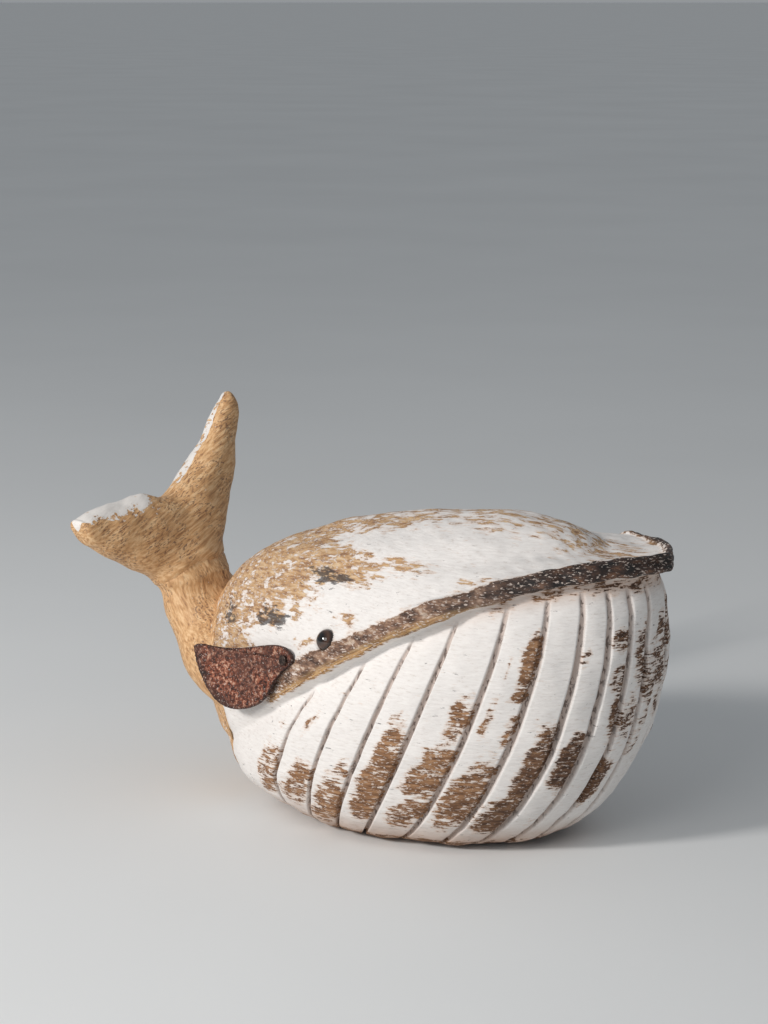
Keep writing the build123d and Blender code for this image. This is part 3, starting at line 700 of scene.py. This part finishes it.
# Eyes: domed craft eyes of brown glass, each over a black pupil disc.
# A wire pin at the back holds the glass in a shallow socket carved in the wood.
eye_dome = 2.3
cap = (eye_radius ** 2 + eye_dome ** 2) / (2 * eye_dome)
cap_lean = np.linspace(np.arcsin(eye_radius / cap), 0.012, 40)
foot = np.stack([np.linspace(0.1, eye_radius - 0.08, 8), np.zeros(8)], -1)
wall = np.stack([eye_radius - np.array([0.03, 0, 0, 0]), [0.01, 0.05, 0.5, 0.97]], -1)
top = np.stack([cap * np.sin(cap_lean), eye_seat + eye_dome - cap + cap * np.cos(cap_lean)], -1)
profile = np.concatenate([foot, wall, top])
eye_side = np.cross((0, 0, 1.0), eye_out)
eye_side = eye_side / np.linalg.norm(eye_side)
eye_up = np.cross(eye_out, eye_side)
spin = np.linspace(0, 2 * np.pi, 72, endpoint=False)[None, :, None]
circle = np.cos(spin) * eye_side + np.sin(spin) * eye_up
right_dome = eye_place - eye_seat * eye_out + profile[:, None, :1] * circle + profile[:, None, 1:] * eye_out
off_middle = profile[:, :1] / eye_radius + 0 * right_dome[..., 0]


def eye_glass(tree, surface):
    """Brown glass: nearly black over the pupil, a brown ring round it and a darker rim."""
    tone = ramp(tree, mark(tree, "off"), (0.40, srgb(0.05, 0.04, 0.035)), (0.56, srgb(0.22, 0.14, 0.10)),
                (0.80, srgb(0.36, 0.25, 0.19)), (0.97, srgb(0.15, 0.11, 0.09)))
    tree.links.new(tone, surface.inputs["Base Color"])
    surface.inputs["Roughness"].default_value = 0.04
    surface.inputs["IOR"].default_value = 1.52
    surface.inputs["Transmission Weight"].default_value = 0.25
    surface.inputs["Coat Weight"].default_value = 0.6


glass = finish_material("eye_glass", eye_glass)
for name, dome in (("right_eye_glass", right_dome), ("left_eye_glass", right_dome[:, ::-1] * (1, -1, 1))):
    eye = sheet(name + "_dome", dome, off=off_middle)
    eye.data.materials.append(glass)
    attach(eye, "whale")
    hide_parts(name)

# Small hardware: browned steel fin nails and eye pins, black pupil discs and a beech dowel.
# Nails and pins are driven into the wood, and the dowel is glued across the joint of body and tail.
# They keep the shapes that they were built with, and only get their finish.


def dark_steel(tree, surface):
    """Old nail steel, browned unevenly."""
    tone = ramp(tree, noise(tree, 0.9, (1, 1, 1), 3.0, 0.6), (0.35, srgb(0.16, 0.13, 0.12)),
                (0.65, srgb(0.36, 0.30, 0.27)))
    tree.links.new(tone, surface.inputs["Base Color"])
    surface.inputs["Roughness"].default_value = 0.45
    surface.inputs["Metallic"].default_value = 0.7


def pupil_black(tree, surface):
    """Black lacquer with a faint brown tone."""
    tone = ramp(tree, noise(tree, 1.2), (0.3, srgb(0.03, 0.025, 0.02)), (0.7, srgb(0.06, 0.045, 0.04)))
    tree.links.new(tone, surface.inputs["Base Color"])
    surface.inputs["Roughness"].default_value = 0.3


def dowel_wood(tree, surface):
    """Pale beech with fine straight grain along the dowel."""
    tone = ramp(tree, noise(tree, 1.2, (8, 1, 1), 3.0, 0.5), (0.3, srgb(0.70, 0.55, 0.38)),
                (0.7, srgb(0.82, 0.68, 0.50)))
    tree.links.new(tone, surface.inputs["Base Color"])
    surface.inputs["Roughness"].default_value = 0.6


steel = finish_material("dark_steel", dark_steel)
black = finish_material("pupil_black", pupil_black)
beech = finish_material("dowel_wood", dowel_wood)
for ending, finish in (("fin_nail", steel), ("eye_pin", steel), ("eye_pupil", black), ("dowel", beech)):
    for node, built in frame["nodes"].items():
        if node.endswith(ending):
            built.data.materials.clear()
            built.data.materials.append(finish)

# Floor, light and camera: a plain pale card floor, wider than the camera sees, under an even grey sky.
# A soft main lamp stands to the left of the camera, and a broad weak one by it fills the shadows.
# The camera looks 12 degrees down, from 30 degrees toward the nose off the right side.
floor_half = 900
corners = [(-floor_half, -floor_half, 0), (floor_half, -floor_half, 0),
           (floor_half, floor_half, 0), (-floor_half, floor_half, 0)]
floor_mesh = bpy.data.meshes.new("floor")
floor_mesh.from_pydata(corners, [], [(0, 1, 2, 3)])
floor = bpy.data.objects.new("floor", floor_mesh)
bpy.context.scene.collection.objects.link(floor)


def pale_floor(tree, surface):
    """Smooth pale grey card with a barely seen tone in it."""
    tone = ramp(tree, noise(tree, 300.0), (0.3, srgb(0.90, 0.905, 0.905)), (0.7, srgb(0.92, 0.925, 0.925)))
    tree.links.new(tone, surface.inputs["Base Color"])
    surface.inputs["Roughness"].default_value = 0.9


floor_mesh.materials.append(finish_material("pale_floor", pale_floor))
world = bpy.data.worlds.new("studio")
bpy.context.scene.world = world
world.use_nodes = True
sky = world.node_tree.nodes["Background"]
sky.inputs["Color"].default_value = (0.80, 0.84, 0.88, 1)
sky.inputs["Strength"].default_value = 0.36

# The camera, in metres: the middle of the base stands at a pixel of the picture, which is 768 by 1024 pixels
azimuth, pitch, distance, focal = np.radians(30), np.radians(12), 0.8, 2400.0
picture_width, picture_height = 768, 1024
base_right, base_down = 430, 812
look = np.array([-np.sin(azimuth) * np.cos(pitch), np.cos(azimuth) * np.cos(pitch), -np.sin(pitch)])
right = np.array([np.cos(azimuth), np.sin(azimuth), 0])
upward = np.cross(right, look)
off_centre = right * (base_right - picture_width / 2) + upward * (picture_height / 2 - base_down)
camera_place = -distance * (look + off_centre / focal)


def stand(name, holding, place, toward):
    """A lamp or camera at a place, turned to look along a direction with its right side level."""
    level_right = np.cross(toward, (0, 0, 1))
    level_right = level_right / np.linalg.norm(level_right)
    turned = np.eye(4)
    turned[:3, :3] = np.stack([level_right, np.cross(level_right, toward), -toward], 1)
    turned[:3, 3] = place
    holder = bpy.data.objects.new(name, holding)
    bpy.context.scene.collection.objects.link(holder)
    holder.matrix_world = Matrix(turned)
    return holder


# Each lamp: how far left, toward the camera and up it stands, then its distance, watts, size and colour
lit_height = 0.05
for name, left, toward, up, far, watts, size, colour in (
        ("key", 0.80, 0.56, 0.50, 1.2, 8.2, 0.16, (1.0, 0.97, 0.94)),
        ("card", 0.45, 0.75, 0.48, 1.1, 2.2, 0.5, (1.0, 0.98, 0.96))):
    lamp = bpy.data.lights.new(name, "AREA")
    lamp.energy, lamp.size, lamp.color = watts, size, colour
    way = -right * left - look * (1, 1, 0) * toward + np.array([0, 0, up])
    way = way / np.linalg.norm(way)
    stand(name, lamp, way * far + (0, 0, lit_height), -way)
lens = bpy.data.cameras.new("camera")
lens.sensor_width = 36.0
lens.lens = lens.sensor_width * focal / picture_height
bpy.context.scene.camera = stand("camera", lens, camera_place, look)
bpy.context.scene.view_settings.view_transform = "Standard"
